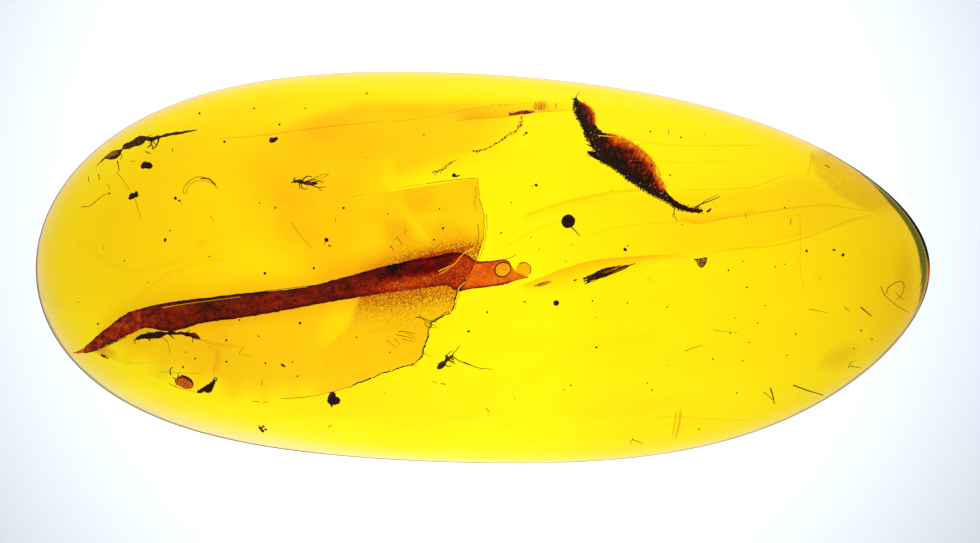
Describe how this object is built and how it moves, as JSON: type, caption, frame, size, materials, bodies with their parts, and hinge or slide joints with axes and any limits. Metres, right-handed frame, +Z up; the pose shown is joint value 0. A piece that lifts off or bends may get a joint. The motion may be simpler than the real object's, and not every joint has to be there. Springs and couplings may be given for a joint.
{
  "type": "insect in amber",
  "caption": "Polished egg-shaped amber cabochon with a flat base and low dome, holding small insects, a red plant strip and a curled hairy leaf.",
  "frame": {"origin": "centre of the outline's box, on the flat base", "axes": "+X along the stone to its pointed end, +Y across it to the side that the curled leaf lies on, +Z up through the dome"},
  "size_m": [0.054, 0.0236, 0.0064],
  "materials": {
    "amber": "polished, clear yellow resin",
    "red_plant": "matt red-brown plant tissue",
    "dark_plant": "matt dark brown plant tissue",
    "chitin": "satin dark chitin",
    "red_chitin": "satin orange-red chitin",
    "pale_plant": "matt light brown plant fibre"
  },
  "bodies": {
    "root": {"amber_upper": "amber", "amber_lower": "amber", "plant_strip": "red_plant", "curled_leaf": "dark_plant", "slender_wasp": "chitin", "midge": "chitin", "gnat": "chitin", "slender_beetle": "chitin", "mite": "red_chitin", "leaf_chip": "dark_plant", "dark_debris": "dark_plant", "round_pellet": "dark_plant", "small_pellet": "dark_plant", "domed_pellet": "dark_plant", "rough_pellet": "dark_plant", "notched_pellet": "dark_plant", "bark_splinter": "dark_plant", "bark_sliver": "pale_plant", "cup_seed": "pale_plant", "crescent_flake": "pale_plant", "fibre_long": "pale_plant", "fibre_short": "pale_plant", "bark_fleck": "red_plant"}
  },
  "joints": []
}
